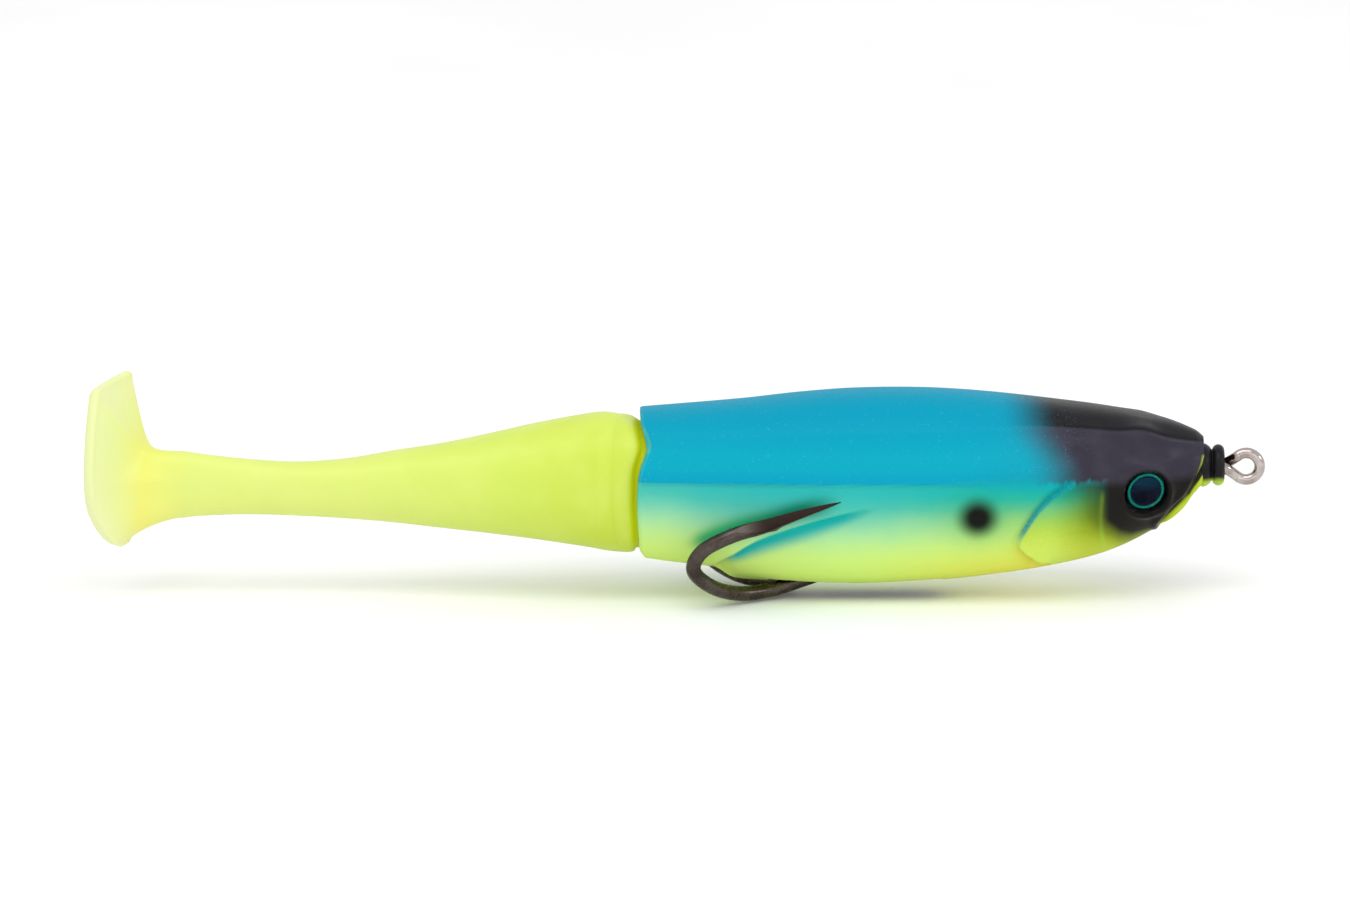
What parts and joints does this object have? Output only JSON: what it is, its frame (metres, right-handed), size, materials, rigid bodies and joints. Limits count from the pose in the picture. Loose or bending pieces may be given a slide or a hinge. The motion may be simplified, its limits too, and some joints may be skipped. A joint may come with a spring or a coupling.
{
  "type": "swimbait",
  "caption": "Hollow soft-bodied fishing lure with a belly-slotted double hook, a wire line tie and a jointed, flexible paddle tail.",
  "frame": {"origin": "centre of the line-tie eye", "axes": "+X towards the nose along the lure's length, +Y to the lure's left and along the eye's hole, +Z towards the back"},
  "size_m": [0.125, 0.0204, 0.0231],
  "materials": {
    "skin": "painted soft plastic, satin",
    "plug": "matte",
    "tie_wire": "bright tinned",
    "crimp": "dull",
    "foil": "metallic foil",
    "dome": "clear",
    "hook": "black nickel",
    "ballast": "cast, dull",
    "insert": "moulded, matte",
    "pin": "drawn",
    "tail": "soft plastic, satin"
  },
  "bodies": {
    "body": {"body_shell": "skin", "nose_plug": "plug", "line_tie": "tie_wire", "crimp_sleeve": "crimp", "eye_foil_right": "foil", "eye_foil_left": "foil", "eye_dome_right": "dome", "eye_dome_left": "dome", "rear_bulkhead": "insert"},
    "hook": {"double_hook": "hook", "belly_weight": "ballast"},
    "tail_front": {"tail_coupler": "insert", "hinge_pin": "pin", "tail_root": "tail"},
    "tail_mid": {"tail_stem": "tail"},
    "paddle": {"tail_paddle": "tail"}
  },
  "joints": [
    {"name": "tail_swing", "type": "hinge", "parent": "body", "child": "tail_front", "pos_m": [-0.063, 0, 0], "axis": [0, 0, 1], "range_deg": [-15, 15]},
    {"name": "tail_flex", "type": "hinge", "parent": "tail_front", "child": "tail_mid", "pos_m": [-0.0932, 0, 0], "axis": [0, 0, 1], "range_deg": [-19, 19], "stiffness_Nm_per_rad": 0.002},
    {"name": "paddle_flex", "type": "hinge", "parent": "tail_mid", "child": "paddle", "pos_m": [-0.11025, 0, 0], "axis": [0, 0, 1], "range_deg": [-35, 35], "stiffness_Nm_per_rad": 0.001},
    {"name": "hook_drop", "type": "hinge", "parent": "body", "child": "hook", "pos_m": [-0.0167, 0, 0], "axis": [0, 1, 0], "range_deg": [-5, 0]}
  ]
}
